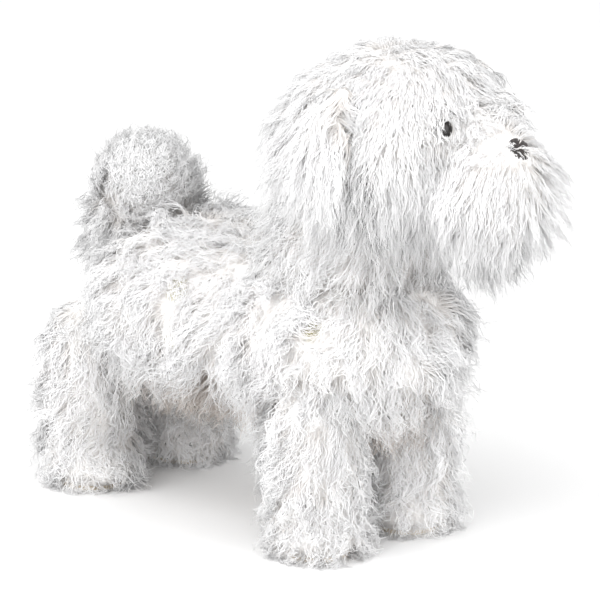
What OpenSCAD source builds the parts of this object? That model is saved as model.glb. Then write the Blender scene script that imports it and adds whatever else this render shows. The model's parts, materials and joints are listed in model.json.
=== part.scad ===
// Standing long-haired plush dog, 37 cm long and 30 cm tall.
// +X is forward, +Y is the dog's left, +Z is up. The origin lies on the ground,
// under the middle of the whole toy. Every pelt panel is its hide with the pile
// on it, so its outer face is the face of the fur.

/* [Torso] */
// Length of the torso over the fur
torso_len = 260; // [254:1:264]
// Height of the torso over the fur
torso_h = 101; // [98:1:104]
// Width of the flat strip down the middle of the back and belly
torso_strip = 24; // [22:1:26]
// Height of the torso's middle line above the ground
torso_z = 119; // [118:1:121]
// Place of the torso's middle, forward of the origin
torso_x = -38; // [-40:1:-36]

/* [Legs] */
// Place of the front legs, forward of the origin
front_x = 36; // [34:1:38]
// Place of the hind legs, forward of the origin
hind_x = -150; // [-152:1:-148]
// Distance from the middle plane to a leg's axis
leg_y = 36; // [35:1:38]
// Height of the hip and shoulder pivots
hip_z = 85; // [84:1:87]
// Radius of the round leg top
hip_r = 28; // [27:1:29]
// Radius of a leg at mid height
shin_r = 30; // [28:1:31]
// Radius of the fur round a foot
foot_r = 33; // [31:0.5:34]
// Swing of a leg to each side of upright
leg_swing = 20; // [10:1:20]

/* [Neck] */
// Place of the neck pivot, forward of the origin
neck_x = 18; // [17:1:20]
// Height of the neck pivot
neck_z = 155; // [154:1:158]
// Radius of the round neck base
neck_r = 46; // [44:1:46]
// Length of the neck from its pivot to the head
neck_len = 62; // [61:0.5:63]
// Forward lean of the neck
neck_lean = 28; // [26:1:30]
// Nod to each side of rest
neck_nod = 10; // [6:1:10]

/* [Head] */
// Length of the skull over the fur
skull_len = 144; // [140:1:148]
// Height of the skull over the fur
skull_h = 104; // [102:1:108]
// Width of the crown gusset
gusset_w = 16; // [12:1:18]
// Place of the skull's middle, forward of the origin
skull_x = 56; // [54:1:58]
// Height of the skull's middle
skull_z = 245; // [244:1:247]
// Upward tilt of the skull's long axis
skull_tilt = 15; // [10:1:17]

/* [Muzzle] */
// Radius of the moustache seen from above
muzzle_r = 40; // [37:1:41]
// Height of the moustache
muzzle_h = 66; // [62:1:68]
// Place of the moustache, forward of the origin
muzzle_x = 143; // [141:1:145]
// Height of the moustache's middle
muzzle_z = 224; // [222:1:226]
// Radius of the beard
beard_r = 27; // [24:1:28]

/* [Face] */
// Radius of an eye bead
eye_r = 6; // [5:0.5:7]
// Place of an eye bead, forward of the origin
eye_x = 122; // [120:1:123]
// Distance from the middle plane to an eye bead
eye_y = 25; // [23:1:27]
// Height of an eye bead
eye_z = 261; // [259:1:263]
// Radius of the nose
nose_r = 7.5; // [6:0.5:8]
// Half depth of the nose
nose_h = 5; // [4:0.5:6]
// Place of the nose, forward of the origin
nose_x = 156; // [154:1:157]
// Height of the nose
nose_z = 251; // [249:1:252]

/* [Ears] */
// Place of an ear's pivot, forward of the origin
ear_x = 70; // [68:1:72]
// Distance from the middle plane to an ear's pivot
ear_y = 50; // [50:1:52]
// Height of an ear's pivot
ear_z = 275; // [273:1:277]
// Length of an ear
ear_len = 66; // [60:1:70]
// Radius of an ear's round tip
ear_tip_r = 20; // [18:1:22]
// Outward lean of a hanging ear
ear_lean = 8; // [6:1:10]

/* [Tail] */
// Place of the tail's root, forward of the origin
tail_x = -150; // [-152:1:-148]
// Height of the tail's root
tail_z = 148; // [146:1:150]
// Radius of the round tail root
tail_r = 20; // [18:1:21]
// Radius of the brush at its widest
brush_r = 31; // [28:1:33]
// Length of the tail from its root
tail_len = 50; // [46:1:54]
// Forward lean of the tail
tail_lean = 20; // [16:1:24]
// Sideways sway of the tail to each side
tail_sway = 25; // [10:1:25]

/* [Pelt] */
// Depth of hide and pile on the torso and neck
pile = 16; // [14:1:18]
// Depth of hide and pile on the head
head_pile = 14; // [12:1:15]
// Depth of hide and pile on the legs
leg_pile = 13; // [11:1:14]
// Thickness of a sole
sole_t = 4; // [3:0.5:5]

/* [Hidden] */
$fn = 64;
gap = 0.3;       // between pieces of one body
play = 0.9;      // between pieces that move past each other
seam = 0.6;      // width of a stitched seam line
big = 600;       // larger than the toy
steps = 12;      // straight runs along a revolved outline
torso_a = torso_len / 2;
torso_b = torso_h / 2;
torso_g = torso_strip / 2;
torso_n = 2.8;   // squareness of the torso's outline
skull_a = skull_len / 2;
skull_b = skull_h / 2;
skull_g = gusset_w / 2;
belly_top = torso_z - 18;
leg_sides = [["front_left", front_x, 1], ["front_right", front_x, -1],
             ["hind_left", hind_x, 1], ["hind_right", hind_x, -1]];
eye_at = [eye_x, eye_y, eye_z];
nose_at = [nose_x, 0, nose_z];
ear_at = [ear_x, ear_y, ear_z];
tail_at = [tail_x, 0, tail_z];
muzzle_core_r = 19;
muzzle_core = [muzzle_x - 12, 0, muzzle_z + 4];
beard_at = [muzzle_x - 4, 0, muzzle_z - 29];
lip_z = muzzle_z - 10;
throat_r = 15;
stem_r = 1.8;
washer_r = 7;
washer_t = 1.5;
tail_core_r = 8;
ear_lining_t = 4;
ear_outer_t = 6;
fur = "whitesmoke";
hide = "wheat";
fill = "ivory";
black = [0.05, 0.05, 0.06];

// ---- Outlines and plain solids ----

// Signed power, which squares off an oval as n grows; n = 2 is an ellipse.
function rounded(v, n) = sign(v) * pow(abs(v), 2 / n);

// Points of an oval with its long axis upright, from its top round by so many steps.
function oval(a, b, n, last) =
    [for (i = [0:last]) let (t = 180 * i / steps)
        [b * rounded(sin(t), n), a * rounded(cos(t), n)]];
function half_oval(a, b, n) = oval(a, b, n, steps);
function whole_oval(a, b, n) = oval(a, b, n, 2 * steps - 1);

// Turns a shape made round Z so that it lies along +X.
module along_x() rotate([0, 90, 0]) children();

// Left half of a solid of revolution round X: everything at Y > 0.
module oval_side(a, b, n)
    along_x() rotate_extrude(angle = 180) polygon(half_oval(a, b, n));

// Straight strip of the same outline, from y0 to y1.
module oval_strip(a, b, n, y0, y1)
    translate([0, y1, 0]) rotate([90, 0, 0]) linear_extrude(y1 - y0)
        rotate(-90) polygon(whole_oval(a, b, n));

// Box over everything between two heights and two distances from the middle plane.
module slab(y0, y1, z0, z1)
    translate([-big / 2, y0, z0]) cube([big, y1 - y0, z1 - z0]);

// Places children on the left (side = 1) or mirrored to the right (side = -1).
module on_side(side) mirror([0, side < 0 ? 1 : 0, 0]) children();

// ---- Torso ----

module torso_frame() translate([torso_x, 0, torso_z]) children();

// Left half of the torso, from the seam at y0 outwards, less a depth of pelt.
module torso_half(depth, y0)
    torso_frame() {
        translate([0, torso_g, 0]) oval_side(torso_a - depth, torso_b - depth, torso_n);
        oval_strip(torso_a - depth, torso_b - depth, torso_n, y0, torso_g);
    }

// Room for the neck, legs and tail over their whole travel.
module torso_pockets(extra) {
    neck_at(0) sphere(neck_r + extra);
    for (s = [-1:1]) neck_at(s * neck_nod) neck_stem(-extra, neck_len);
    for (leg = leg_sides) leg_at(leg) {
        sphere(hip_r + extra);
        leg_slot(extra);
    }
    tail_at_angle(0) sphere(tail_r + extra);
    for (s = [-1:1]) tail_at_angle(s * tail_sway) tail_brush(-extra);
}

// Slot that lets the shin swing: as long as the swing needs where the torso ends.
module leg_slot(extra) {
    drop = hip_z - torso_z + torso_b;
    half_x = hip_r / cos(leg_swing) + drop * tan(leg_swing) + extra;
    half_y = hip_r + extra;
    translate([-half_x, -half_y, -hip_z]) cube([2 * half_x, 2 * half_y, hip_z + 1]);
}

module torso_side_panel()
    color(fur) difference() {
        torso_half(0, seam);
        torso_half(pile, 0);
        slab(-1, torso_g + seam, 0, belly_top + seam);
        torso_pockets(play);
    }

module torso_left_panel() torso_side_panel();
module torso_right_panel() mirror([0, 1, 0]) torso_side_panel();

// Central strip of the torso between y0 and y1, shell only.
module torso_strip_shell(y0, y1)
    torso_frame() difference() {
        oval_strip(torso_a, torso_b, torso_n, y0, y1);
        oval_strip(torso_a - pile, torso_b - pile, torso_n, y0 - 1, y1 + 1);
    }

module torso_belly_panel()
    color(fur) difference() {
        intersection() {
            torso_strip_shell(-torso_g + seam, torso_g - seam);
            slab(-big, big, 0, belly_top - seam);
        }
        torso_pockets(play);
    }

module torso_back_seam()
    color(hide) difference() {
        intersection() {
            torso_strip_shell(-seam / 2, seam / 2);
            slab(-big, big, belly_top + seam, big);
        }
        torso_pockets(play);
    }

module torso_belly_seams()
    color(hide) for (side = [-1, 1]) on_side(side) difference() {
        intersection() {
            torso_strip_shell(torso_g - seam / 2, torso_g + seam / 2);
            translate([hind_x + hip_r, 0, 0])
                cube([front_x - hind_x - 2 * hip_r, big, belly_top - seam]);
        }
        for (leg = leg_sides) leg_at(leg) leg_slot(play);
    }

module torso_stuffing()
    color(fill) difference() {
        torso_frame() union() {
            oval_strip(torso_a - pile - gap, torso_b - pile - gap, torso_n, -torso_g, torso_g);
            for (side = [-1, 1]) on_side(side) translate([0, torso_g, 0])
                oval_side(torso_a - pile - gap, torso_b - pile - gap, torso_n);
        }
        torso_pockets(play + gap);
    }

// ---- Neck ----

// Frame at the neck pivot, +Z up the neck, turned by a nod angle.
module neck_at(nod)
    translate([neck_x, 0, neck_z]) rotate([0, neck_lean + nod, 0]) children();

// Stem of the neck, less a depth of pelt.
module neck_stem(depth, top)
    cylinder(h = top, r1 = neck_r - depth - 4, r2 = neck_r - depth + 8);

// Ball and stem of the neck, less a depth of pelt.
module neck_solid(depth, top) {
    sphere(neck_r - depth);
    neck_stem(depth, top);
}

module neck_panel()
    color(fur) neck_at(0) difference() {
        neck_solid(0, neck_len);
        neck_solid(pile, neck_len + 1);
    }

module neck_stuffing()
    color(fill) neck_at(0) neck_solid(pile + gap, neck_len);

module neck_seam()
    color(hide) neck_at(0) translate([0, 0, neck_len + 0.5])
        rotate_extrude() translate([neck_r - pile + 4, 0]) circle(0.4);

// ---- Head ----

module skull_frame()
    translate([skull_x, 0, skull_z]) rotate([0, -skull_tilt, 0]) children();

// Everything below the head's seam with the neck.
module below_head()
    neck_at(0) translate([-big / 2, -big / 2, neck_len + 1.3 - big])
        cube([big, big, big]);

module skull_side(depth)
    skull_frame() translate([0, skull_g, 0])
        oval_side(skull_a - depth, skull_b - depth, 2);

module skull_strip(depth, y)
    skull_frame() oval_strip(skull_a - depth, skull_b - depth, 2, -y, y);

module whole_skull(depth) {
    skull_strip(depth, skull_g);
    for (side = [-1, 1]) on_side(side) skull_side(depth);
}

// Throat through which the stuffing fills the muzzle.
module throat(r)
    translate([skull_x, 0, muzzle_core.z]) along_x()
        cylinder(h = muzzle_core.x - skull_x, r = r);

module head_side_panel()
    color(fur) difference() {
        skull_frame() translate([0, skull_g, 0])
            intersection() {
                oval_side(skull_a, skull_b, 2);
                slab(seam, big, -big, big);
            }
        skull_side(head_pile);
        below_head();
        throat(throat_r + gap);
        muzzle_core_solid(gap);
        ear_recess();
        eye_frame() {
            eye_solid(gap);
            eye_washer_solid(gap);
        }
    }

module head_left_panel() head_side_panel();
module head_right_panel() mirror([0, 1, 0]) head_side_panel();

// Middle strip of the head's pelt, all the way round.
module gusset_loop()
    difference() {
        skull_strip(0, skull_g - seam);
        skull_strip(head_pile, skull_g + 1);
        below_head();
        throat(throat_r + gap);
        muzzle_core_solid(gap);
    }

module head_crown_gusset()
    color(fur) intersection() {
        gusset_loop();
        slab(-big, big, muzzle_core.z, big);
    }

module throat_gusset()
    color(fur) intersection() {
        gusset_loop();
        slab(-big, big, 0, muzzle_core.z);
    }

module head_gusset_seams()
    color(hide) for (side = [-1, 1]) on_side(side) difference() {
        translate([0, skull_g, 0]) skull_strip(0, seam / 2);
        translate([0, skull_g, 0]) skull_strip(head_pile, seam);
        below_head();
        throat(throat_r + gap);
        muzzle_core_solid(gap);
    }

module muzzle_core_solid(extra)
    translate(muzzle_core) sphere(muzzle_core_r + extra);

module head_stuffing()
    color(fill) difference() {
        union() {
            difference() {
                whole_skull(head_pile + gap);
                below_head();
            }
            throat(throat_r);
            muzzle_core_solid(0);
        }
        for (side = [-1, 1]) on_side(side) eye_frame() {
            eye_solid(gap);
            eye_washer_solid(gap);
        }
        nose_frame() {
            nose_stem(gap);
            nose_washer_solid(gap);
        }
    }

// Moustache and beard as one mass, clear of the skull.
module muzzle_mass()
    difference() {
        union() {
            translate([muzzle_x, 0, muzzle_z])
                rotate_extrude() polygon(half_oval(muzzle_h / 2, muzzle_r, 2.3));
            translate(beard_at) sphere(beard_r);
        }
        whole_skull(-gap);
        muzzle_core_solid(gap);
        throat(throat_r + gap);
    }

module muzzle_panel()
    color(fur) difference() {
        muzzle_mass();
        slab(-big, big, 0, lip_z + gap / 2);
        nose_frame() {
            nose_solid(gap);
            nose_stem(gap);
            nose_washer_solid(gap);
        }
    }

module chin_panel()
    color(fur) intersection() {
        muzzle_mass();
        slab(-big, big, 0, lip_z - gap / 2);
    }

// ---- Eyes and nose ----

// Frame at the left eye, +Z out of the head.
module eye_frame() {
    out = eye_at - [skull_x, skull_g, skull_z];
    translate(eye_at)
        rotate([0, acos(out.z / norm(out)), atan2(out.y, out.x)]) children();
}

eye_stem_l = head_pile + 4;

module eye_solid(extra) {
    sphere(eye_r + extra);
    translate([0, 0, -eye_stem_l]) cylinder(h = eye_stem_l, r = stem_r + extra);
}

module eye_washer_solid(extra)
    translate([0, 0, -head_pile - 2 - extra])
        cylinder(h = washer_t + 2 * extra, r = washer_r + extra);

module eye_washer_ring()
    difference() {
        eye_washer_solid(0);
        translate([0, 0, -eye_stem_l]) cylinder(h = eye_stem_l, r = stem_r + 0.1);
    }

module left_eye() color(black) eye_frame() eye_solid(0);
module right_eye() color(black) mirror([0, 1, 0]) eye_frame() eye_solid(0);
module left_eye_washer() color(fill) eye_frame() eye_washer_ring();
module right_eye_washer() color(fill) mirror([0, 1, 0]) eye_frame() eye_washer_ring();

// Frame at the nose, +Z out of the muzzle.
module nose_frame() translate(nose_at) rotate([0, 45, 0]) children();

nose_stem_l = 20;
nose_washer_z = -16.5;

module nose_solid(extra)
    rotate_extrude() polygon(half_oval(nose_h + extra, nose_r + extra, 2));

module nose_stem(extra)
    translate([0, 0, -nose_stem_l]) cylinder(h = nose_stem_l, r = stem_r + extra);

module nose_washer_solid(extra)
    translate([0, 0, nose_washer_z - extra])
        cylinder(h = washer_t + 2 * extra, r = washer_r + extra);

module nose()
    color(black) nose_frame() {
        nose_solid(0);
        nose_stem(0);
    }

module nose_washer()
    color(fill) nose_frame() difference() {
        nose_washer_solid(0);
        translate([0, 0, -nose_stem_l]) cylinder(h = nose_stem_l, r = stem_r + 0.1);
    }

// ---- Ears ----

// One layer of the left ear, between two distances from its inner face.
module ear_layer(y0, y1)
    translate(ear_at) rotate([ear_lean, 0, 0]) translate([0, y1, 0])
        rotate([90, 0, 0]) linear_extrude(y1 - y0) {
            translate([0, ear_tip_r - ear_len]) circle(ear_tip_r);
            translate([3 - ear_tip_r, ear_tip_r - ear_len])
                square([2 * ear_tip_r - 6, ear_len - ear_tip_r]);
        }

// Flattened place in the pile where the hanging ear lies.
module ear_recess()
    translate(ear_at) rotate([ear_lean, 0, 0])
        translate([-ear_tip_r - play, -play, -ear_len - play])
            cube([2 * (ear_tip_r + play), big, ear_len + 2 * play]);

module left_ear_lining() color(fur) ear_layer(0, ear_lining_t);
module left_ear_outer() color(fur) ear_layer(ear_lining_t + gap, ear_lining_t + ear_outer_t);
module right_ear_lining() mirror([0, 1, 0]) left_ear_lining();
module right_ear_outer() mirror([0, 1, 0]) left_ear_outer();

// ---- Tail ----

// Frame at the tail's root, +Z up the tail and +X to the rear, swayed to one side.
module tail_at_angle(sway)
    translate(tail_at) rotate([sway, 0, 0]) rotate([0, tail_lean, 0]) rotate([0, 0, 180]) children();

// Flared part of the tail's brush, less a depth of pelt.
module tail_brush(depth)
    cylinder(h = tail_len - 14, r1 = tail_r - depth - 4, r2 = brush_r - depth);

// Ball, flared brush and round top of the tail, less a depth of pelt.
module tail_solid(depth) {
    sphere(tail_r - depth);
    tail_brush(depth);
    translate([0, 0, tail_len - 14])
        rotate_extrude() intersection() {
            polygon(half_oval(14 - depth, brush_r - depth, 2.5));
            square(big);
        }
}

module tail_core(extra) {
    sphere(tail_core_r + 2 + extra);
    cylinder(h = tail_len - 18 + extra, r = tail_core_r + extra);
}

module tail_panel()
    color(fur) tail_at_angle(0) difference() {
        tail_solid(0);
        tail_core(gap);
    }

module tail_stuffing() color(fill) tail_at_angle(0) tail_core(0);

// ---- Legs ----

// Frame at a leg's pivot.
module leg_at(leg)
    translate([leg[1], leg[2] * leg_y, hip_z]) children();

// Round top, shin and flared foot of a leg, less a depth of pelt.
module leg_solid(depth, bottom) {
    sphere(hip_r - depth);
    translate([0, 0, -hip_z]) rotate_extrude()
        polygon([[0, bottom], [foot_r - depth - 1.5, bottom], [foot_r - depth, 9],
                 [foot_r - depth - 1, 19], [shin_r - depth, hip_z - 34],
                 [hip_r - depth - 2, hip_z], [0, hip_z]]);
}

module leg_panel(leg)
    color(fur) leg_at(leg) difference() {
        leg_solid(0, 1);
        leg_solid(leg_pile, 0);
    }

module leg_stuffing(leg)
    color(fill) leg_at(leg) leg_solid(leg_pile + gap, sole_t + gap);

module sole(leg)
    color(hide) leg_at(leg) translate([0, 0, -hip_z])
        cylinder(h = sole_t, r = foot_r - leg_pile - 1.5 - gap);

torso_stuffing();
torso_left_panel();
torso_right_panel();
torso_belly_panel();
torso_back_seam();
torso_belly_seams();
neck_panel();
neck_stuffing();
neck_seam();
head_stuffing();
head_left_panel();
head_right_panel();
head_crown_gusset();
throat_gusset();
head_gusset_seams();
muzzle_panel();
chin_panel();
left_eye();
right_eye();
left_eye_washer();
right_eye_washer();
nose();
nose_washer();
left_ear_outer();
left_ear_lining();
right_ear_outer();
right_ear_lining();
tail_panel();
tail_stuffing();
for (leg = leg_sides) {
    leg_panel(leg);
    leg_stuffing(leg);
    sole(leg);
}
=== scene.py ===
import json
import math

import bpy
import numpy as np
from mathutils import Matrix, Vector


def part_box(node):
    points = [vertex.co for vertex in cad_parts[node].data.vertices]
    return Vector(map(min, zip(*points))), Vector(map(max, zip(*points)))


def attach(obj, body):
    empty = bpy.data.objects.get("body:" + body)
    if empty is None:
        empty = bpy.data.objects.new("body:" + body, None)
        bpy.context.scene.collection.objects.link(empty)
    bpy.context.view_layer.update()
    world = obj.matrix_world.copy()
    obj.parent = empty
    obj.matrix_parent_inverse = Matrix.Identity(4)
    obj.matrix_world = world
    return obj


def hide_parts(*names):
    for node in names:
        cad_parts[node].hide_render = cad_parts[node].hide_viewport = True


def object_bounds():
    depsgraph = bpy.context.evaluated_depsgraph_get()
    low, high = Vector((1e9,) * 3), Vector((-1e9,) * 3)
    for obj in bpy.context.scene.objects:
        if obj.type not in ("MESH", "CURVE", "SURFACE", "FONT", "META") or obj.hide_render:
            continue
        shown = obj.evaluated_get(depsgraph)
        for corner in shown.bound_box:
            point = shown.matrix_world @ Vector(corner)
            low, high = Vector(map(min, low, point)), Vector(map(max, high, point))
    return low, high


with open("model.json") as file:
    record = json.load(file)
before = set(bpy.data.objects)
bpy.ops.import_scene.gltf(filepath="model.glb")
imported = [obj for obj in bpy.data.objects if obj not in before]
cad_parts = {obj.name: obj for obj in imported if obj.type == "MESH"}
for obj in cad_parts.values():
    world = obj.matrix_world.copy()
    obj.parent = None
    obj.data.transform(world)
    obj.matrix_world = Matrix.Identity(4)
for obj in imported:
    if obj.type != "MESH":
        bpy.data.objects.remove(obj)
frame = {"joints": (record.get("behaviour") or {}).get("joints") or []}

CAD_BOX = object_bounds()
MM = 0.001
DOWN = np.array([0.0, 0.0, -1.0])
FORWARD = np.array([1.0, 0.0, 0.0])
LINE_POINTS = 12          # points worked out along a lock's middle line
PIECE_TRIS = 190000       # most triangles in one piece of a coat
BOX_ROOM = 8 * MM         # how far a hair may reach outside the object's own box
FLOOR_ROOM = 0.6 * MM     # the least height of a hair over the floor
PARTING_R = 3.4 * MM      # radius of a gap in the coat that shows the hide
HIDE_REACH = 9 * MM       # how far the hide's colour spreads round such a gap


# ---- Places from the frame ----

def span(*nodes):
    """Lowest and highest corners of some CAD nodes together."""
    boxes = [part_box(n) for n in nodes]
    lows = np.array([b[0] for b in boxes]).min(0)
    highs = np.array([b[1] for b in boxes]).max(0)
    return lows, highs


def middle(*nodes):
    low, high = span(*nodes)
    return (low + high) / 2, (high - low) / 2


JOINTS = {j["name"]: j for j in frame["joints"]}


def pivot(joint):
    return np.array(JOINTS[joint]["pos_m"])


TORSO_MID, TORSO_HALF = middle("torso_left_panel", "torso_right_panel", "torso_belly_panel")
NECK_PIVOT = pivot("neck_nod")
NECK_AXIS = np.array(JOINTS["head_turn"]["axis"])
NECK_LENGTH = 62 * MM     # from the nod's axis to the seam with the head
NECK_TOP = NECK_PIVOT + NECK_AXIS * NECK_LENGTH
CROWN_LOW, CROWN_HIGH = span("head_crown_gusset")
SKULL_PITCH = 15.0        # degrees the skull's long axis is tipped, front end up
SKULL_R = np.array([72.0, 60.0, 52.0]) * MM
SKULL_DROP = 53.6 * MM    # the tipped skull's middle below the top of its crown
SKULL_MID = np.array([(CROWN_LOW[0] + CROWN_HIGH[0]) / 2, 0.0, CROWN_HIGH[2] - SKULL_DROP])
MUZZLE_MID = middle("muzzle_panel", "chin_panel")[0]
EYE_R = 6 * MM
EYE_MID = {}
EYE_AXIS = {}
for side, sign in (("left", 1), ("right", -1)):
    low, high = span(side + "_eye")
    outermost = max(abs(low[1]), abs(high[1]))
    EYE_MID[side] = np.array([high[0] - EYE_R, sign * (outermost - EYE_R), (low[2] + high[2]) / 2])
    EYE_AXIS[side] = EYE_MID[side] - SKULL_MID - [0, sign * 8 * MM, 0]
    EYE_AXIS[side] /= np.linalg.norm(EYE_AXIS[side])
NOSE_HIGH = span("nose")[1]
NOSE_R = 6.4 * MM
NOSE = np.array([NOSE_HIGH[0] - NOSE_R, 0.0, NOSE_HIGH[2] - NOSE_R])
NOSE_AXIS = np.array([1.0, 0, 1.0]) / math.sqrt(2)
TAIL_ROOT = pivot("tail_sway")
TAIL_LEAN = math.radians(20)    # how far the tail leans towards the head
TAIL_AXIS = np.array([math.sin(TAIL_LEAN), 0.0, math.cos(TAIL_LEAN)])
LEGS = ("front_left", "front_right", "hind_left", "hind_right")


# ---- Small vector helpers ----

def length_of(v):
    return np.linalg.norm(v, axis=-1, keepdims=True)


def unit(v):
    return v / np.maximum(length_of(v), 1e-12)


def dot(a, b):
    return np.sum(a * b, axis=-1, keepdims=True)


def ease(t):
    return t * t * (3 - 2 * t)


def ripple(p, size, seed):
    """Smooth noise from -1 to 1 with bumps of about the given size."""
    rng = np.random.default_rng(seed)
    total = 0.0
    for _ in range(7):
        way = unit(rng.normal(size=3)) * 2 * math.pi / (size * rng.uniform(0.8, 1.5))
        total = total + np.sin(p @ way + rng.uniform(0, 2 * math.pi))
    return total / 4.0


# ---- Solid fields: negative inside, in metres from the surface outside ----

def ellipsoid(mid, radii, pitch=0.0):
    mid, radii = np.asarray(mid, float), np.asarray(radii, float)
    c, s = math.cos(math.radians(pitch)), math.sin(math.radians(pitch))
    axes = np.array([[c, 0, s], [0, 1, 0], [-s, 0, c]])

    def field(p):
        q = (p - mid) @ axes.T
        k0 = np.linalg.norm(q / radii, axis=-1)
        k1 = np.linalg.norm(q / radii ** 2, axis=-1)
        return k0 * (k0 - 1) / np.maximum(k1, 1e-6)
    return field


def bone(a, b, ra, rb):
    a, b = np.asarray(a, float), np.asarray(b, float)
    along = b - a

    def field(p):
        t = np.clip((p - a) @ along / (along @ along), 0, 1)
        return np.linalg.norm(p - a - t[:, None] * along, axis=-1) - (ra + (rb - ra) * t)
    return field


def melt(k, *fields):
    """Union whose creases are filled over a width k."""
    def field(p):
        d = fields[0](p)
        for other in fields[1:]:
            e = other(p)
            h = np.clip(0.5 + 0.5 * (e - d) / k, 0, 1)
            d = e * (1 - h) + d * h - k * h * (1 - h)
        return d
    return field


def carve(field, *cuts):
    return lambda p: np.maximum(field(p), -np.minimum.reduce([c(p) for c in cuts]))


def above(point, axis):
    """Everything beyond a plane, the way the axis points."""
    return lambda p: -((p - point) @ axis)


def below(point, axis):
    return lambda p: (p - point) @ axis


def both(a, b):
    return lambda p: np.maximum(a(p), b(p))


def normal_of(field, p):
    e = 0.4 * MM
    base = field(p)
    g = np.stack([field(p + e * axis) - base for axis in np.eye(3)], -1)
    return unit(g)


# ---- Meshes ----

def new_piece(name, mesh, material):
    mesh.materials.append(material)
    piece = bpy.data.objects.new(name, mesh)
    bpy.context.scene.collection.objects.link(piece)
    return piece


def fill_mesh(name, points, corners, starts):
    mesh = bpy.data.meshes.new(name)
    mesh.vertices.add(len(points))
    mesh.vertices.foreach_set("co", points.astype(np.float32).ravel())
    mesh.loops.add(len(corners))
    mesh.loops.foreach_set("vertex_index", corners.astype(np.int32))
    mesh.polygons.add(len(starts))
    mesh.polygons.foreach_set("loop_start", starts.astype(np.int32))
    mesh.polygons.foreach_set("use_smooth", np.ones(len(starts), bool))
    mesh.update(calc_edges=True)
    mesh.validate()
    return mesh


def surface(field, low, high, step):
    """Points and quads of a field's surface, one point to each grid cell it crosses."""
    low = np.asarray(low) - 2 * step
    count = np.ceil((np.asarray(high) + 2 * step - low) / step).astype(int) + 1
    ticks = [low[i] + step * np.arange(count[i]) for i in range(3)]
    grid = np.stack(np.meshgrid(*ticks, indexing="ij"), -1)
    value = field(grid.reshape(-1, 3)).reshape(count)
    inside = value < 0
    cells = count - 1

    def corner(array, at):
        return array[at[0]:at[0] + cells[0], at[1]:at[1] + cells[1], at[2]:at[2] + cells[2]]

    total = np.zeros(tuple(cells) + (3,))
    hits = np.zeros(tuple(cells))
    for axis in range(3):
        for u in (0, 1):
            for w in (0, 1):
                a = np.insert(np.array([u, w]), axis, 0)
                b = np.insert(np.array([u, w]), axis, 1)
                va, vb = corner(value, a), corner(value, b)
                crossed = (va < 0) != (vb < 0)
                share = np.where(crossed, va / np.where(crossed, va - vb, 1), 0)
                at = np.broadcast_to(a.astype(float), total.shape).copy()
                at[..., axis] += share
                total += at * crossed[..., None]
                hits += crossed
    live = hits > 0
    number = np.full(tuple(cells), -1)
    number[live] = np.arange(live.sum())
    points = low + step * (np.argwhere(live) + total[live] / hits[live][:, None])
    quads = []
    for axis in range(3):
        u, w = [i for i in range(3) if i != axis]
        first = np.take(inside, range(count[axis] - 1), axis)
        second = np.take(inside, range(1, count[axis]), axis)
        for flip in (False, True):
            at = np.argwhere((first & ~second) if not flip else (~first & second))
            eu, ew = np.eye(3, dtype=int)[u], np.eye(3, dtype=int)[w]
            ring = [at - eu - ew, at - ew, at, at - eu]
            ids = np.stack([number[tuple(r.T)] for r in ring], -1)
            turned = (axis == 1) != flip
            quads.append(ids[:, ::-1] if turned else ids)
    return points, np.concatenate(quads)


def pelt_piece(name, body, field, low, high, step, material):
    """The hide with its dense underwool, as one closed skin."""
    points, quads = surface(field, low, high, step)
    mesh = fill_mesh(name, points, quads.ravel(), np.arange(len(quads)) * 4)
    piece = new_piece(name, mesh, material)
    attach(piece, body)
    return piece, points, quads


def scatter(points, quads, spacing, rng):
    """Places all over a skin, one to each cell of the given spacing."""
    tris = np.concatenate([quads[:, [0, 1, 2]], quads[:, [0, 2, 3]]])
    a, b, c = (points[tris[:, i]] for i in range(3))
    area = np.linalg.norm(np.cross(b - a, c - a), axis=-1) / 2
    wanted = int(area.sum() / spacing ** 2 * 6)
    pick = rng.choice(len(tris), wanted, p=area / area.sum())
    u, v = rng.random((2, wanted, 1))
    fold = u + v > 1
    u, v = np.where(fold, 1 - u, u), np.where(fold, 1 - v, v)
    at = a[pick] + u * (b[pick] - a[pick]) + v * (c[pick] - a[pick])
    _, first = np.unique(np.floor(at / spacing).astype(int), axis=0, return_index=True)
    return at[first]


# ---- Fur ----

def swirl(p, size, seed):
    """A smooth random direction that turns over about the given size."""
    return np.stack([ripple(p, size, seed + i) for i in range(3)], -1)


def lock_lines(field, root, comb, length, lift, loft, droop):
    """Middle lines of locks that leave the skin, bend over and lie along the comb."""
    line = [root]
    skin = normal_of(field, root)
    heading = unit(comb(root, skin) + lift * skin)
    step = length / (LINE_POINTS - 1)
    p = root
    for i in range(1, LINE_POINTS):
        t = i / (LINE_POINTS - 1)
        skin = normal_of(field, p)
        want = comb(p, skin)
        want = want - skin * np.minimum(dot(want, skin), 0)
        want = unit(want) + lift * (1 - t) * skin + droop * t * DOWN
        heading = unit(heading * 0.62 + unit(want) * 0.38)
        p = p + heading * step
        short = loft * min(1.0, 2.2 * t) - field(p)[:, None]
        p = p + skin * np.clip(short, 0, None)
        line.append(p)
    return np.stack(line, 1)


def frames_along(line, field_normal):
    """Sideways and outward directions at every point of every line."""
    along = unit(np.gradient(line, axis=1))
    side = unit(np.cross(along, field_normal[:, None, :]))
    return side, np.cross(side, along)


def resample(line, count):
    """The same lines with fewer points."""
    at = np.linspace(0, line.shape[1] - 1, count)
    i = np.minimum(at.astype(int), line.shape[1] - 2)
    f = (at - i)[None, :, None]
    return line[:, i] * (1 - f) + line[:, i + 1] * f


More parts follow.
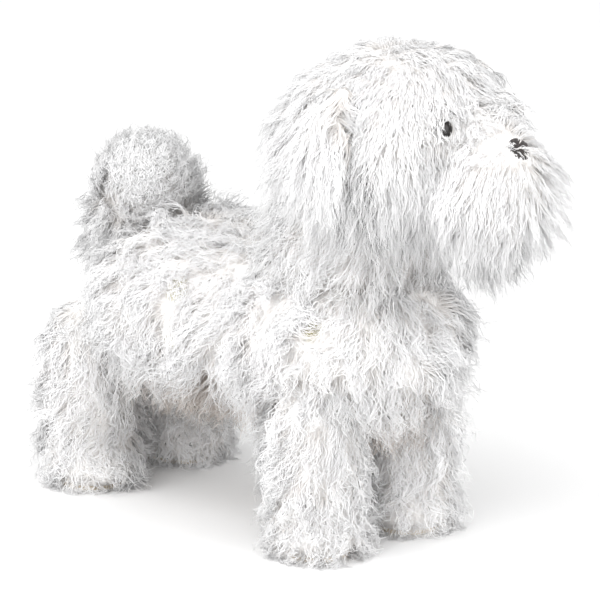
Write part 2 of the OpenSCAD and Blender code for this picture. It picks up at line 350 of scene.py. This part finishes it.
def hairs(field, lines, length, spec, rng):
    """Hairs of every lock: spread at the root, gathered towards the tip, each with its own wave."""
    skin = normal_of(field, lines[:, 0])
    side, out = frames_along(lines, skin)
    locks = len(lines)
    each = spec["hairs"]
    t = np.linspace(0, 1, LINE_POINTS)[None, :, None]
    phase = rng.uniform(0, 2 * math.pi, (locks, 1, 1))
    wave = spec["wave"] * rng.uniform(0.7, 1.4, (locks, 1, 1))
    turn = 2 * math.pi * t * length[:, :, None] / wave
    swing = spec["curl"] * rng.uniform(0.4, 1.3, (locks, 1, 1)) * ease(np.minimum(t * 1.6, 1))
    lines = lines + swing * (np.sin(turn + phase) * side + 0.7 * np.cos(turn + phase) * out)
    pick = np.repeat(np.arange(locks), each)
    n = len(pick)
    angle = rng.uniform(0, 2 * math.pi, (n, 1, 1))
    spread = spec["spread"] * np.sqrt(rng.random((n, 1, 1)))
    keep = 1 - spec["gather"] * t ** 1.3
    own = spec["frizz"] * rng.uniform(0.2, 1.6, (n, 1, 1)) * t
    own_turn = 2 * math.pi * t * rng.uniform(1.0, 3.4, (n, 1, 1)) + rng.uniform(0, 6.3, (n, 1, 1))
    path = lines[pick] + (
        spread * keep * (np.cos(angle) * side[pick] + np.sin(angle) * np.cross(side, out)[pick])
        + own * (np.sin(own_turn) * side[pick] + np.cos(own_turn * 0.8) * out[pick]))
    stretch = rng.uniform(0.7, 1.12, (n, 1, 1))
    path = path[:, :1] + (path - path[:, :1]) * (1 + (stretch - 1) * t)
    return path, skin[pick]


def hair_mesh(name, path, skin, tone_and_painted_shade, width, rng):
    """Three-sided tapered hairs, closed at both ends.

    Their UV holds each hair's random lightness, with painted shading for hairs of the underside, and the
    height on it. Their normals lean towards the skin's, so that a coat is lit as one soft mass.
    """
    n, rings = path.shape[:2]
    along = unit(np.gradient(path, axis=1))
    ref = unit(rng.normal(size=(n, 1, 3)))
    side = unit(np.cross(along, ref))
    up = np.cross(along, side)
    t = np.linspace(0, 1, rings)
    shape = np.sqrt(np.clip(1 - t ** 2.2, 0, 1)) * (0.72 + 0.28 * np.minimum(t * 4, 1))
    radius = 0.5 * width * rng.uniform(0.6, 1.25, (n, 1, 1)) * shape[None, :, None]
    ring = []
    for k in range(3):
        a = 2 * math.pi * k / 3
        outward = math.cos(a) * side[:, :-1] + math.sin(a) * up[:, :-1]
        ring.append(path[:, :-1] + radius[:, :-1] * outward)
    body = np.stack(ring, 2).reshape(n, (rings - 1) * 3, 3)
    points = np.concatenate([body, path[:, -1:]], 1)
    per = points.shape[1]
    quads = []
    for r in range(rings - 2):
        for k in range(3):
            m = (k + 1) % 3
            quads.append([r * 3 + k, r * 3 + m, (r + 1) * 3 + m, (r + 1) * 3 + k])
    tris = [[(rings - 2) * 3 + k, (rings - 2) * 3 + (k + 1) % 3, per - 1] for k in range(3)]
    tris.append([2, 1, 0])
    pattern = np.array([i for q in quads + tris for i in q])
    sizes = np.array([4] * len(quads) + [3] * len(tris))
    base = np.arange(n) * per
    corners = (pattern[None, :] + base[:, None]).ravel()
    starts = (np.concatenate([[0], np.cumsum(sizes)[:-1]])[None, :]
              + (np.arange(n) * len(pattern))[:, None]).ravel()
    mesh = fill_mesh(name, points.reshape(-1, 3), corners, starts)
    height = np.concatenate([np.repeat(t[:-1], 3), [1.0]])[pattern]
    uv = np.empty((n, len(pattern), 2), np.float32)
    uv[..., 0] = 0.01 + 0.98 * tone_and_painted_shade[:, None]
    uv[..., 1] = 0.01 + 0.98 * height[None, :]
    layer = mesh.uv_layers.new(name="OFBake")
    layer.data.foreach_set("uv", uv.ravel())
    own = np.stack([math.cos(2 * math.pi * k / 3) * side + math.sin(2 * math.pi * k / 3) * up
                    for k in range(3)], 2)
    own = np.concatenate([own[:, :-1].reshape(n, -1, 3), along[:, -1:]], 1)
    lean = unit(own * 0.25 + skin[:, None, :])
    mesh.normals_split_custom_set_from_vertices(lean.reshape(-1, 3))
    return mesh


def keep_clear(path, mid, axis, radius, share, rng):
    """Draws hairs aside from a small round place, all but a share of them."""
    q = path - mid
    along = dot(q, axis)
    lateral = q - along * axis
    far = length_of(lateral)
    near = (far < radius) & (along > -4 * MM) & (along < 30 * MM)
    near &= rng.random((len(path), 1, 1)) > share
    aside = unit(lateral + 1e-6)
    return np.where(near, path + aside * (radius - far), path)


def hug(path):
    """Turns hairs that reach far outside the object's box back towards it, and keeps them off the floor."""
    low, high = np.array(CAD_BOX)
    over, under = np.maximum(path - high, 0), np.maximum(low - path, 0)
    past_high = BOX_ROOM * (1 - np.exp(-over / BOX_ROOM))
    past_low = BOX_ROOM * (1 - np.exp(-under / BOX_ROOM))
    path = np.clip(path, low, high) + past_high - past_low
    path[..., 2] = np.maximum(path[..., 2], FLOOR_ROOM)
    return path


def coat(name, body, field, root, comb, spec, seed, after=None):
    """Grows a coat from its roots, as one or more pieces of hairs."""
    rng = np.random.default_rng(seed)
    n = len(root)
    length = spec["length"] * rng.uniform(0.75, 1.2, (n, 1))
    if "length_at" in spec:
        length = length * spec["length_at"](root)[:, None]
    loft = spec["loft"] * rng.uniform(0.35, 1.15, (n, 1))
    loft = loft * (1 + 0.45 * ripple(root, 30 * MM, seed + 5))[:, None]
    if "loft_at" in spec:
        loft = loft * spec["loft_at"](root)[:, None]
    tilt = rng.normal(0, spec["mess"], (n, 3))

    def messy(p, skin):
        return comb(p, skin) + tilt + spec["swirl"] * swirl(p, 38 * MM, seed)

    lines = lock_lines(field, root, messy, length, spec["lift"], loft, spec["droop"])
    path, skin = hairs(field, lines, length, spec, rng)
    if after is not None:
        path = after(path, rng)
    path = hug(path)
    path = resample(path, spec["rings"])
    tris = 6 * (spec["rings"] - 1) - 2
    pieces = math.ceil(len(path) * tris / PIECE_TRIS)
    order = rng.permutation(len(path))
    # Painted shading: hairs rooted on skin that faces down are pulled towards the dark, warm end of the fur's
    # ramp, standing in for shadow under the belly and between the legs.
    under = np.clip(-skin[:, 2] * 1.6 - 0.55, 0, 1) * spec.get("under", 0)
    tone_and_painted_shade = (0.25 + 0.75 * rng.random(len(path))) * (1 - under)
    coats = []
    for i, part in enumerate(np.array_split(order, pieces)):
        label = name if pieces == 1 else f"{name}_{i + 1}"
        mesh = hair_mesh(label, path[part], skin[part], tone_and_painted_shade[part], spec["width"], rng)
        piece = new_piece(label, mesh, FUR)
        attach(piece, body)
        coats.append(piece)
    print("coat", name, len(root), "locks", len(path), "hairs", len(path) * tris, "tris")
    return coats


# ---- Materials ----

def material(name):
    m = bpy.data.materials.new(name)
    m.use_nodes = True
    shader = m.node_tree.nodes["Principled BSDF"]
    return m, m.node_tree.nodes, m.node_tree.links, shader


def fur_material():
    """White wool: creamier at the root, clear white at the tip, each hair a little lighter or darker at
    random, and hairs of the underside darker and warmer as painted shading.
    """
    m, nodes, links, shader = material("white_fur")
    uv = nodes.new("ShaderNodeUVMap")
    uv.uv_map = "OFBake"
    split = nodes.new("ShaderNodeSeparateXYZ")
    links.new(uv.outputs["UV"], split.inputs[0])
    ramp = nodes.new("ShaderNodeValToRGB")
    ramp.color_ramp.elements[0].color = (0.93, 0.885, 0.845, 1)
    ramp.color_ramp.elements[1].color = (0.965, 0.965, 0.97, 1)
    ramp.color_ramp.elements[1].position = 0.45
    links.new(split.outputs["Y"], ramp.inputs["Fac"])
    tone_and_painted_shade_ramp = nodes.new("ShaderNodeValToRGB")
    # Dark, warm low end: painted shading for hairs rooted on the underside; from 0.25 up, each hair's random
    # lightness.
    tone_and_painted_shade_ramp.color_ramp.elements[0].color = (0.78, 0.68, 0.60, 1)
    tone_and_painted_shade_ramp.color_ramp.elements[1].color = (1.0, 1.0, 1.0, 1)
    middle_tone = tone_and_painted_shade_ramp.color_ramp.elements.new(0.25)
    middle_tone.color = (0.965, 0.96, 0.955, 1)
    links.new(split.outputs["X"], tone_and_painted_shade_ramp.inputs["Fac"])
    mix = nodes.new("ShaderNodeVectorMath")
    mix.operation = "MULTIPLY"
    links.new(ramp.outputs["Color"], mix.inputs[0])
    links.new(tone_and_painted_shade_ramp.outputs["Color"], mix.inputs[1])
    links.new(mix.outputs["Vector"], shader.inputs["Base Color"])
    shader.inputs["Roughness"].default_value = 0.62
    shader.inputs["Specular IOR Level"].default_value = 0.2
    return m


def grained(name, low, high, scale, rough, bump, kind="noise", sheen=0.0):
    """A finish with its own grain: two tones, uneven roughness and a fine relief."""
    m, nodes, links, shader = material(name)
    where = nodes.new("ShaderNodeTexCoord")
    if kind == "cells":
        grain = nodes.new("ShaderNodeTexVoronoi")
        out = grain.outputs["Distance"]
    else:
        grain = nodes.new("ShaderNodeTexNoise")
        grain.inputs["Detail"].default_value = 7
        out = grain.outputs["Fac"]
    grain.inputs["Scale"].default_value = scale
    links.new(where.outputs["Object"], grain.inputs["Vector"])
    ramp = nodes.new("ShaderNodeValToRGB")
    ramp.color_ramp.elements[0].color = (*low, 1)
    ramp.color_ramp.elements[0].position = 0.3
    ramp.color_ramp.elements[1].color = (*high, 1)
    ramp.color_ramp.elements[1].position = 0.7
    links.new(out, ramp.inputs["Fac"])
    links.new(ramp.outputs["Color"], shader.inputs["Base Color"])
    span_rough = nodes.new("ShaderNodeMapRange")
    span_rough.inputs["To Min"].default_value = rough[0]
    span_rough.inputs["To Max"].default_value = rough[1]
    links.new(out, span_rough.inputs["Value"])
    links.new(span_rough.outputs["Result"], shader.inputs["Roughness"])
    relief = nodes.new("ShaderNodeBump")
    relief.inputs["Strength"].default_value = bump
    relief.inputs["Distance"].default_value = 0.4 * MM
    links.new(out, relief.inputs["Height"])
    links.new(relief.outputs["Normal"], shader.inputs["Normal"])
    shader.inputs["Sheen Weight"].default_value = sheen
    return m


def dress(finish, *nodes):
    for node in nodes:
        for place in bpy.data.objects[node].material_slots:
            place.material = finish


def show_hide(m, colour, places, reach):
    """Bare hide, in its own colour, round a few places on a pelt."""
    nodes, links = m.node_tree.nodes, m.node_tree.links
    shader = nodes["Principled BSDF"]
    where = nodes.new("ShaderNodeTexCoord")
    wool = shader.inputs["Base Color"].links[0].from_socket
    for at in places:
        far = nodes.new("ShaderNodeVectorMath")
        far.operation = "DISTANCE"
        far.inputs[1].default_value = at
        links.new(where.outputs["Object"], far.inputs[0])
        share = nodes.new("ShaderNodeMapRange")
        share.inputs["From Min"].default_value = reach
        share.inputs["From Max"].default_value = reach * 0.4
        links.new(far.outputs["Value"], share.inputs["Value"])
        mix = nodes.new("ShaderNodeMixRGB")
        mix.inputs["Color2"].default_value = (*colour, 1)
        links.new(share.outputs["Result"], mix.inputs["Fac"])
        links.new(wool, mix.inputs["Color1"])
        wool = mix.outputs["Color"]
    links.new(wool, shader.inputs["Base Color"])


FUR = fur_material()
PELT = grained("pelt_underwool", (0.88, 0.85, 0.82), (0.955, 0.95, 0.945), 420, (0.8, 1.0), 0.6)
dress(grained("eye_bead", (0.010, 0.009, 0.009), (0.022, 0.018, 0.016), 300, (0.06, 0.16), 0.03),
      "left_eye", "right_eye")
dress(grained("nose_plastic", (0.016, 0.013, 0.012), (0.045, 0.036, 0.034), 900, (0.28, 0.45), 0.35, "cells"),
      "nose")
dress(grained("washer_nylon", (0.72, 0.72, 0.70), (0.82, 0.82, 0.80), 500, (0.4, 0.55), 0.05),
      "left_eye_washer", "right_eye_washer", "nose_washer")
dress(grained("sole_hide", (0.66, 0.57, 0.45), (0.80, 0.72, 0.60), 650, (0.75, 0.95), 0.5, "cells", 0.2),
      *[leg + "_sole" for leg in LEGS])
dress(grained("stuffing_fibre", (0.80, 0.80, 0.79), (0.93, 0.93, 0.92), 260, (0.9, 1.0), 0.8),
      "torso_stuffing", "neck_stuffing", "head_stuffing", "tail_stuffing",
      *[leg + "_leg_stuffing" for leg in LEGS])


# ---- The dog ----

def torso_field():
    mid, half = TORSO_MID, TORSO_HALF
    inset = 6.0 * MM
    chest = ellipsoid(mid + half * [0.50, 0, 0.05],
                      [half[0] * 0.50 - inset, half[1] - inset, half[2] - inset + 2 * MM])
    waist = ellipsoid(mid, [half[0] * 0.75, half[1] * 0.94 - inset, half[2] * 0.94 - inset])
    rump = ellipsoid(mid - half * [0.46, 0, 0.07],
                     [half[0] * 0.50 - inset, half[1] - inset, half[2] * 0.95 - inset])
    return melt(20 * MM, chest, waist, rump)


def leg_field(leg):
    hip = pivot(leg + "_leg_swing")
    foot = hip * [1, 1, 0] + [0, 0, 16 * MM]
    shin = bone(hip, foot, 22 * MM, 22 * MM)
    paw = ellipsoid(foot + [1 * MM, 0, -2 * MM], np.array([22.0, 21.5, 15.5]) * MM)
    flat = above(np.array([0, 0, 1.5 * MM]), np.array([0, 0, 1.0]))
    return both(melt(8 * MM, shin, paw), flat)


def head_field():
    skull = ellipsoid(SKULL_MID + [3 * MM, 0, -1 * MM], SKULL_R - np.array([8, 7, 6]) * MM, SKULL_PITCH)
    snout = ellipsoid([MUZZLE_MID[0] - 12 * MM, 0, NOSE[2] - 20 * MM], np.array([31.0, 30.0, 24.0]) * MM, -8)
    chin = ellipsoid([MUZZLE_MID[0] - 14 * MM, 0, NOSE[2] - 39 * MM], np.array([21.0, 21.0, 17.0]) * MM)
    bridge = bone(NOSE - [30 * MM, 0, -1 * MM], NOSE - [5 * MM, 0, 5 * MM], 17 * MM, 11 * MM)
    brows = [ellipsoid(EYE_MID[side] - 8 * MM * EYE_AXIS[side], [9 * MM] * 3) for side in EYE_MID]
    whole = melt(10 * MM, skull, snout, chin, bridge, *brows)
    return both(whole, above(NECK_TOP + NECK_AXIS * 1.3 * MM, NECK_AXIS))


def neck_field():
    tube = bone(NECK_PIVOT, NECK_TOP + NECK_AXIS * 10 * MM, 36 * MM, 45 * MM)
    return both(tube, below(NECK_TOP, NECK_AXIS))


def tail_field():
    return bone(TAIL_ROOT, TAIL_ROOT + TAIL_AXIS * 20 * MM, 17 * MM, 24 * MM)


torso = torso_field()
legs = {leg: leg_field(leg) for leg in LEGS}
neck = neck_field()
head = head_field()
tail = tail_field()


def swung(leg, angle):
    """A leg's bone at a swing, as room to leave in the torso."""
    hip = pivot(leg + "_leg_swing")
    a = math.radians(angle)
    return bone(hip, hip + np.array([math.sin(a), 0, -math.cos(a)]) * 60 * MM, 23.5 * MM, 24 * MM)


torso_room = [bone(NECK_PIVOT, NECK_TOP, 38 * MM, 47 * MM),
              bone(TAIL_ROOT, TAIL_ROOT + TAIL_AXIS * 20 * MM, 18.5 * MM, 25.5 * MM)]
torso_room += [swung(leg, a) for leg in LEGS for a in (-20, 0, 20)]
torso_carved = carve(torso, *torso_room)


def on_skin(field, p):
    """The place on a field's surface nearest to a point."""
    for _ in range(6):
        p = p - field(p[None])[0] * normal_of(field, p[None])[0]
    return p


# Small gaps in the coat of the right side, where the hide shows at the shoulder, flank and loin.
PARTINGS = [on_skin(torso, TORSO_MID + TORSO_HALF * at)
            for at in ([0.65, -0.86, 0.38], [-0.2, -0.86, -0.3], [-0.2, -0.86, 0.38])]
ROOT_DRAWS = np.random.default_rng(7)


def roots_of(points, quads, spacing, *conditions):
    """Roots for locks on a skin, kept where each given field is further off than its margin."""
    at = scatter(points, quads, spacing, ROOT_DRAWS)
    for field, margin in conditions:
        at = at[field(at) > margin]
    return at


# under=1.0 gives the hairs of the underside their painted shading, darker and warmer.
BODY = dict(length=28 * MM, lift=0.75, loft=7 * MM, droop=0.3, mess=0.34, swirl=0.9, curl=2.4 * MM,
            wave=14 * MM, hairs=13, spread=5.4 * MM, gather=0.35, frizz=2.6 * MM, width=0.38 * MM, rings=8,
            under=1.0)
SPACING = 6.4 * MM        # between the locks of the body, neck and legs


def body_comb(p, skin):
    """The lie of the coat: down, away from the middle of the back, and rearwards behind the chest."""
    top = np.clip(skin[:, 2:], 0, 1)
    sideways = np.sign(p[:, 1:2]) * np.array([0, 1.0, 0]) * top * 0.6
    front = np.clip((p[:, :1] - TORSO_MID[0]) / TORSO_HALF[0], 0, 1)
    return DOWN * 0.9 + sideways - FORWARD * 0.35 * (1 - front)


def torso_coat():
    piece, points, quads = pelt_piece("torso_pelt", "torso", torso_carved, *span(
        "torso_left_panel", "torso_right_panel", "torso_belly_panel"), 3 * MM, PELT)
    root = roots_of(points, quads, SPACING, (neck, 0), (tail, 0), *[(legs[leg], 0) for leg in LEGS])
    root = root[torso(root) > -2.5 * MM]
    low, high = TORSO_MID - TORSO_HALF, TORSO_MID + TORSO_HALF

    def shorter(p):
        rear = np.clip((low[0] + 50 * MM - p[:, 0]) / (50 * MM), 0, 1)
        back = np.clip((p[:, 2] - high[2] + 25 * MM) / (25 * MM), 0, 1)
        return 1 - 0.3 * np.maximum(rear, back)

    spec = dict(BODY, length_at=shorter, loft_at=shorter)

    def part(path, rng):
        for at in PARTINGS:
            out = normal_of(torso, at[None])[0]
            for step in (-4, 0, 4):
                path = keep_clear(path, at + [0, 0, step * MM], out, PARTING_R, 0.06, rng)
        return path

    coats = coat("torso_fur", "torso", torso, root, body_comb, spec, 11, part)
    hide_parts("torso_left_panel", "torso_right_panel", "torso_belly_panel",
                "torso_back_seam", "torso_belly_seams")
    return [piece] + coats


def leg_coat(leg, seed):
    body = leg + "_leg"
    low, high = span(body + "_panel")
    piece, points, quads = pelt_piece(leg + "_leg_pelt", body, legs[leg], low, high, 3 * MM, PELT)
    root = roots_of(points, quads, SPACING, (torso, -1 * MM))
    root = root[root[:, 2] > 3 * MM]
    hip = pivot(leg + "_leg_swing")

    def comb(p, skin):
        away = (p - hip) * [1, 1, 0]
        behind = np.array([-0.5, 0, 0]) * np.exp(-((p[:, 2:] - 60 * MM) / (25 * MM)) ** 2)
        return DOWN + unit(away) * 0.25 + np.clip(1 - p[:, 2:] / (30 * MM), 0, 1) * unit(away) * 0.4 + behind

    spec = dict(BODY, length=26 * MM, loft=4.5 * MM, droop=0.3, lift=0.5, swirl=0.6)
    spec["length_at"] = lambda p: 0.5 + 0.5 * np.clip(p[:, 2] / (60 * MM), 0, 1)
    coats = coat(leg + "_leg_fur", body, legs[leg], root, comb, spec, seed)
    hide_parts(body + "_panel")
    return [piece] + coats


def neck_coat():
    low, high = span("neck_panel")
    piece, points, quads = pelt_piece("neck_pelt", "neck", neck, low, high, 3 * MM, PELT)
    root = roots_of(points, quads, SPACING, (torso, 0), (head, 0))
    spec = dict(BODY, length=34 * MM, droop=0.7, hairs=10)
    coats = coat("neck_fur", "neck", neck, root, body_comb, spec, 31)
    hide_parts("neck_panel", "neck_seam")
    return [piece] + coats


def tail_coat():
    low, high = span("tail_panel")
    piece, points, quads = pelt_piece("tail_pelt", "tail", tail, low, high, 2.5 * MM, PELT)
    root = roots_of(points, quads, 3.6 * MM, (torso, -2 * MM))

    def comb(p, skin):
        up = np.clip((p - TAIL_ROOT) @ TAIL_AXIS / (34 * MM), 0, 1)[:, None]
        return TAIL_AXIS * (1.6 * up - 0.1) + skin * (0.5 - 0.2 * up) + DOWN * 0.5 * (1 - up)

    spec = dict(BODY, length=26 * MM, loft=6 * MM, droop=-0.1, lift=0.2, mess=0.2, swirl=0.35, hairs=12,
                curl=1.6 * MM)
    spec["length_at"] = lambda p: 1.0 - 0.4 * np.clip((p - TAIL_ROOT) @ TAIL_AXIS / (40 * MM), 0, 1)
    coats = coat("tail_fur", "tail", tail, root, comb, spec, 41)
    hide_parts("tail_panel")
    return [piece] + coats


def head_coat():
    low, high = span("head_left_panel", "head_right_panel", "muzzle_panel", "chin_panel")
    piece, points, quads = pelt_piece("head_pelt", "head", head, low, high, 3 * MM, PELT)
    root = roots_of(points, quads, 4.7 * MM, (neck, 1 * MM))
    whorl = SKULL_MID + [10 * MM, 0, 60 * MM]

    def comb(p, skin):
        away = unit((p - whorl) * [1, 1, 0])
        muzzle = np.clip((p[:, :1] - (NOSE[0] - 30 * MM)) / (18 * MM), 0, 1)
        from_nose = unit((p - NOSE) * [0.6, 1.4, 0.8])
        crown = np.exp(-(length_of((p - whorl) * [1, 1, 0]) / (15 * MM)) ** 2)
        skull_way = away * 0.8 * (1 - crown) + DOWN * (1 - crown) + FORWARD * 1.3 * crown
        snout_way = from_nose * 1.0 + DOWN * 0.35 + FORWARD * 0.45
        return skull_way * (1 - muzzle) + snout_way * muzzle

    def clear_face(path, rng):
        for side in ("left", "right"):
            path = keep_clear(path, EYE_MID[side], EYE_AXIS[side], 4.8 * MM, 0.05, rng)
        return keep_clear(path, NOSE, NOSE_AXIS, 2.4 * MM, 0.2, rng)

    spec = dict(length=28 * MM, lift=0.4, loft=5 * MM, droop=0.6, mess=0.16, swirl=0.4, curl=1.3 * MM,
                wave=22 * MM, hairs=15, spread=5.2 * MM, gather=0.35, frizz=1.5 * MM, width=0.34 * MM,
                rings=7)
    top = SKULL_MID[2] + SKULL_R[2]

    def length_at(p):
        low_down = np.clip((top - p[:, 2]) / (90 * MM), 0, 1)
        over_eye = p[:, 2] > EYE_MID["left"][2] - EYE_R
        brow = np.exp(-((p[:, 0] - EYE_MID["left"][0]) / (14 * MM)) ** 2) * over_eye
        snout = np.clip((p[:, 0] - (NOSE[0] - 45 * MM)) / (30 * MM), 0, 1)
        bridge = snout * (p[:, 2] > NOSE[2] - 4 * MM)
        return (0.6 + (0.75 - 0.35 * snout) * low_down) * (1 - 0.4 * brow) * (1 - 0.5 * bridge)

    def loft_at(p):
        near = sum(np.exp(-((length_of(p - mid)[:, 0] / (15 * MM)) ** 2))
                   for mid in (*EYE_MID.values(), NOSE))
        return 1 + 0.35 * np.clip(near, 0, 1)

    spec["length_at"] = length_at
    spec["loft_at"] = loft_at
    coats = coat("head_fur", "head", head, root, comb, spec, 51, clear_face)
    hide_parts("head_left_panel", "head_right_panel", "head_crown_gusset", "throat_gusset",
                "head_gusset_seams", "muzzle_panel", "chin_panel")
    return [piece] + coats


def ear_coat(side, seed):
    body = side + "_ear"
    mid, half = middle(side + "_ear_outer", side + "_ear_lining")
    flap = ellipsoid(mid + [0, 0, 2 * MM], [15 * MM, 3 * MM, half[2] - 12 * MM])
    field = melt(5 * MM, flap, bone(pivot(side + "_ear_flop"), mid, 4 * MM, 3 * MM))
    low, high = span(side + "_ear_outer", side + "_ear_lining")
    piece, points, quads = pelt_piece(side + "_ear_pelt", body, field, low - 6 * MM, high + 6 * MM, 1.5 * MM,
                                     PELT)
    root = roots_of(points, quads, 2.8 * MM, (head, -6 * MM))

    def comb(p, skin):
        return DOWN + skin * 0.1

    spec = dict(length=30 * MM, lift=0.9, loft=6 * MM, droop=0.7, mess=0.25, swirl=0.4, curl=1.8 * MM,
                wave=20 * MM, hairs=10, spread=3.8 * MM, gather=0.5, frizz=1.4 * MM, width=0.34 * MM, rings=8)
    coats = coat(side + "_ear_fur", body, field, root, comb, spec, seed)
    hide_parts(side + "_ear_outer", side + "_ear_lining")
    return [piece] + coats


show_hide(PELT, (0.46, 0.42, 0.22), PARTINGS, HIDE_REACH)
made = {"torso": torso_coat()}
for i, leg in enumerate(LEGS):
    made[leg] = leg_coat(leg, 21 + i)
made["neck"] = neck_coat()
made["tail"] = tail_coat()
made["head"] = head_coat()
made["left_ear"] = ear_coat("left", 61)
made["right_ear"] = ear_coat("right", 62)


# ---- Stage, light and camera ----

def plain_material(name, colour, rough):
    m, nodes, links, shader = material(name)
    shader.inputs["Base Color"].default_value = (*colour, 1)
    shader.inputs["Roughness"].default_value = rough
    return m


def stage():
    size = 6.0
    corners = np.array([[-size, -size, 0], [size, -size, 0], [size, size, 0], [-size, size, 0]])
    mesh = fill_mesh("floor", corners, np.arange(4), np.array([0]))
    floor = new_piece("floor", mesh, plain_material("floor_white", (0.86, 0.86, 0.86), 0.8))


def lamp(name, at, aim, size, power, colour=(1, 1, 1)):
    data = bpy.data.lights.new(name, "AREA")
    data.size = size
    data.energy = power
    data.color = colour
    lamp_object = bpy.data.objects.new(name, data)
    lamp_object.location = at
    lamp_object.rotation_euler = (Vector(aim) - Vector(at)).to_track_quat("-Z", "Y").to_euler()
    bpy.context.scene.collection.objects.link(lamp_object)


FRAME_WIDTH = 0.3396      # metres across the picture at the object


def camera():
    azimuth, elevation, distance = math.radians(45.8), math.radians(16.3), 4.5
    aim = Vector((-15 * MM, 0, 130 * MM))
    back = Vector((math.sin(azimuth) * math.cos(elevation), -math.cos(azimuth) * math.cos(elevation),
                   math.sin(elevation)))
    data = bpy.data.cameras.new("camera")
    data.sensor_width = 36
    data.lens = data.sensor_width * distance / FRAME_WIDTH
    eye = bpy.data.objects.new("camera", data)
    eye.location = aim + back * distance
    eye.rotation_euler = (-back).to_track_quat("-Z", "Y").to_euler()
    bpy.context.scene.collection.objects.link(eye)
    bpy.context.scene.camera = eye


stage()
lamp("key", (0.3, -1.6, 1.45), (0, 0, 0.12), 2.4, 44)
lamp("fill", (1.6, 0.2, 0.9), (0, 0, 0.12), 1.8, 15)
camera()
world = bpy.data.worlds.new("world")
bpy.context.scene.world = world
world.use_nodes = True
world.node_tree.nodes["Background"].inputs["Color"].default_value = (1, 1, 1, 1)
world.node_tree.nodes["Background"].inputs["Strength"].default_value = 0.95
bpy.context.scene.view_settings.view_transform = "Standard"
bpy.context.scene.cycles.max_bounces = 14
bpy.context.scene.cycles.diffuse_bounces = 10
